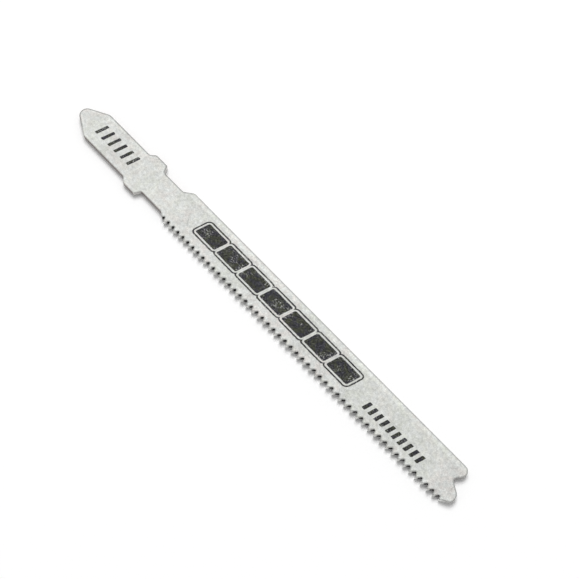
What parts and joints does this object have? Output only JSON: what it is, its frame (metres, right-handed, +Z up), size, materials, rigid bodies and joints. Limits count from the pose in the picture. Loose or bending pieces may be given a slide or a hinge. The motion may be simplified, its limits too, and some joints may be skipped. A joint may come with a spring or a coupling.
{
  "type": "jigsaw blade",
  "caption": "Flat steel jigsaw blade with a T shank, a fine wavy-set toothed edge and a notched tail.",
  "frame": {"origin": "middle of the blade's bounding box, on the plane that its lowest teeth rest on", "axes": "+X along the blade from the shank to the tail, +Y from the teeth to the back edge, +Z up out of the printed face"},
  "size_m": [0.092, 0.0076, 0.0013],
  "materials": {
    "blade": "blasted satin"
  },
  "bodies": {
    "root": {"blade": "blade"}
  },
  "joints": []
}
